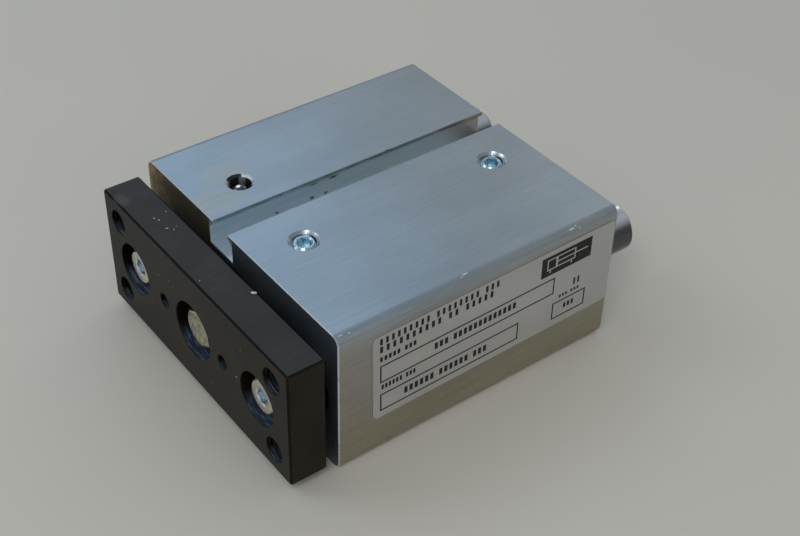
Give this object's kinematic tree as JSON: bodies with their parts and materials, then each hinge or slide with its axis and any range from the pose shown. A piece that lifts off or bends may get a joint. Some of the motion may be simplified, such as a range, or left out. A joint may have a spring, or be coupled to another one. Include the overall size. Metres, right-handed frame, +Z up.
{
  "type": "guided pneumatic cylinder",
  "caption": "Compact pneumatic cylinder in an aluminium block, with parallel guide rods and a black tool plate that slides out on the piston rod.",
  "frame": {"origin": "centre of the aluminium block's base face, rod retracted", "axes": "+X is the way the rod and plate extend, +Y is the labelled side, +Z is up from the base face"},
  "size_m": [0.086, 0.0642, 0.031],
  "materials": {
    "body_aluminium": "brushed, anodised",
    "turned_aluminium": "turned",
    "bush_bronze": "sintered",
    "seal_rubber": "moulded",
    "spring_steel": "phosphated",
    "bumper_polyurethane": "moulded",
    "wiper_felt": "felt",
    "plug_zinc": "zinc plated",
    "ball_steel": "polished",
    "label_foil": "silver-grey film",
    "plate_black": "black oxide",
    "rod_chrome": "ground and hard chromed",
    "magnet_rubber": "bonded ferrite",
    "wear_plastic": "filled plastic",
    "screw_steel": "forged and plated",
    "screw_plated": "zinc plated"
  },
  "bodies": {
    "body": {"body_block": "body_aluminium", "rod_gland": "turned_aluminium", "rod_bush": "bush_bronze", "rod_seal": "seal_rubber", "gland_oring": "seal_rubber", "gland_retaining_ring": "spring_steel", "front_bumper": "bumper_polyurethane", "rear_cap": "turned_aluminium", "rear_cap_oring": "seal_rubber", "rear_retaining_ring": "spring_steel", "rear_bumper": "bumper_polyurethane", "guide_bush_front_left": "bush_bronze", "guide_bush_front_right": "bush_bronze", "guide_bush_rear_left": "bush_bronze", "guide_bush_rear_right": "bush_bronze", "guide_wiper_left": "wiper_felt", "guide_wiper_right": "wiper_felt", "guide_wiper_ring_left": "spring_steel", "guide_wiper_ring_right": "spring_steel", "port_plug_front": "plug_zinc", "port_plug_rear": "plug_zinc", "passage_ball": "ball_steel", "type_label": "label_foil"},
    "carriage": {"tool_plate": "plate_black", "piston_rod": "rod_chrome", "piston": "turned_aluminium", "piston_seal": "seal_rubber", "piston_magnet": "magnet_rubber", "piston_wear_ring": "wear_plastic", "piston_nut": "screw_steel", "guide_rod_left": "rod_chrome", "guide_rod_right": "rod_chrome", "rod_bolt": "screw_steel", "guide_rod_screw_left": "screw_plated", "guide_rod_screw_right": "screw_plated"}
  },
  "joints": [
    {"name": "rod_slide", "type": "slide", "parent": "body", "child": "carriage", "axis": [1, 0, 0], "range_m": [0, 0.025]}
  ]
}
